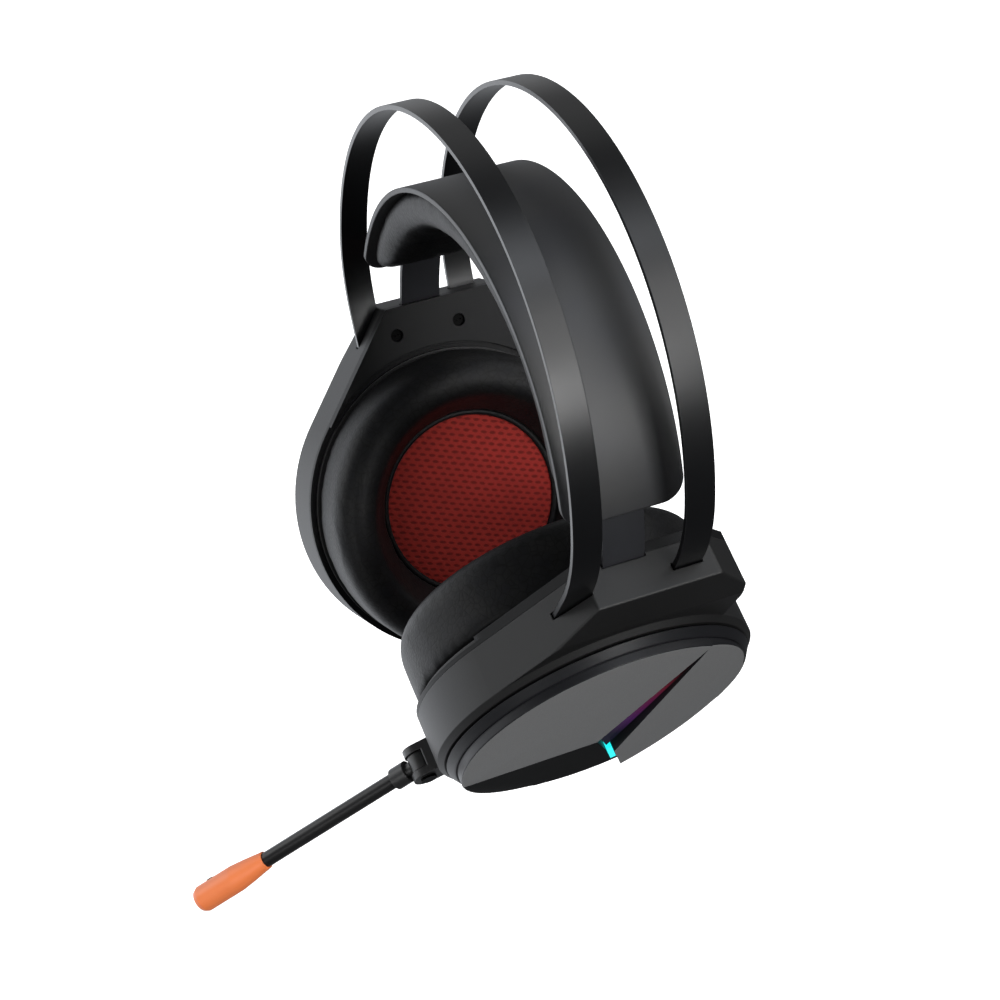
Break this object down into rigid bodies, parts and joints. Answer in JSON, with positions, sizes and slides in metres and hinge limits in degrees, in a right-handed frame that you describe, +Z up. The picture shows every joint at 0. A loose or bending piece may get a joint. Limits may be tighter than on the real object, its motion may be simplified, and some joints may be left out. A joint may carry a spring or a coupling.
{
  "type": "gaming headset",
  "caption": "Over-ear headset with twin sprung hoops, a self-adjusting head pad, padded round cups with faceted lit caps, and a swinging boom microphone.",
  "frame": {"origin": "on the ear axis, midway between the middles of the two ear cushion faces", "axes": "+X towards the wearer's left ear, +Y towards the back of the head, +Z up"},
  "size_m": [0.1608, 0.1602, 0.2373],
  "materials": {
    "boom_metal": "dark anodised",
    "cap_ring": "satin",
    "capsule_orange": "satin orange",
    "circuit_board": "green solder mask",
    "cup_shell": "fine matte",
    "cushion_leather": "soft black leatherette",
    "diaphragm_film": "thin film",
    "driver_metal": "plated",
    "ear_mesh": "woven mesh",
    "ear_mesh_dark": "woven mesh",
    "face_plate": "grey metallic satin",
    "face_plate_dark": "grey metallic satin",
    "grommet_rubber": "soft",
    "hoop_steel": "satin black",
    "inner_plastic": "moulded",
    "mic_plastic": "satin",
    "pad_core": "moulded",
    "pad_skin": "smooth soft-touch",
    "screw_steel": "black oxide",
    "slit_glow": "smoked, lit red to violet",
    "status_glow": "lit cyan",
    "strap_plastic": "satin"
  },
  "bodies": {
    "frame": {"cable_grommet": "grommet_rubber", "front_hoop": "hoop_steel", "left_amp_board": "circuit_board", "left_baffle_screws": "screw_steel", "left_block_screws": "screw_steel", "left_bottom_face": "face_plate_dark", "left_cap_ring": "cap_ring", "left_cushion_ring": "inner_plastic", "left_diaphragm": "diaphragm_film", "left_driver_frame": "driver_metal", "left_ear_cushion": "cushion_leather", "left_ear_mesh": "ear_mesh", "left_front_clamp": "inner_plastic", "left_front_face": "face_plate", "left_inner_plate": "cup_shell", "left_light_board": "circuit_board", "left_magnet": "driver_metal", "left_mesh_frame": "inner_plastic", "left_rear_clamp": "inner_plastic", "left_rear_face": "face_plate", "left_shell": "cup_shell", "left_slit_light": "slit_glow", "left_status_light": "status_glow", "mic_bracket": "mic_plastic", "mic_pin": "screw_steel", "rear_hoop": "hoop_steel", "right_baffle_screws": "screw_steel", "right_block_screws": "screw_steel", "right_bottom_face": "face_plate_dark", "right_cap_ring": "cap_ring", "right_cushion_ring": "inner_plastic", "right_diaphragm": "diaphragm_film", "right_driver_frame": "driver_metal", "right_ear_cushion": "cushion_leather", "right_ear_mesh": "ear_mesh", "right_front_clamp": "inner_plastic", "right_front_face": "face_plate", "right_inner_plate": "cup_shell", "right_light_board": "circuit_board", "right_magnet": "driver_metal", "right_mesh_frame": "inner_plastic", "right_rear_clamp": "inner_plastic", "right_rear_face": "face_plate", "right_shell": "cup_shell", "right_slit_light": "slit_glow", "right_status_light": "status_glow"},
    "head_pad": {"pad_skin": "pad_skin", "pad_core": "pad_core", "pad_cushion": "cushion_leather", "left_strap": "strap_plastic", "right_strap": "strap_plastic", "pad_rivets": "screw_steel"},
    "mic": {"mic_knuckle": "mic_plastic", "mic_boom": "boom_metal", "mic_capsule": "capsule_orange", "mic_port": "ear_mesh_dark", "mic_element": "driver_metal"}
  },
  "joints": [
    {"name": "mic_swing", "type": "hinge", "parent": "frame", "child": "mic", "pos_m": [0.03734, -0.04653, -0.03788], "axis": [-0.9033, 0, 0.4289], "range_deg": [-40, 100]},
    {"name": "pad_lift", "type": "slide", "parent": "frame", "child": "head_pad", "axis": [0, 0, 1], "range_m": [0, 0.015], "stiffness_N_per_m": 60, "springref_m": -0.01}
  ]
}
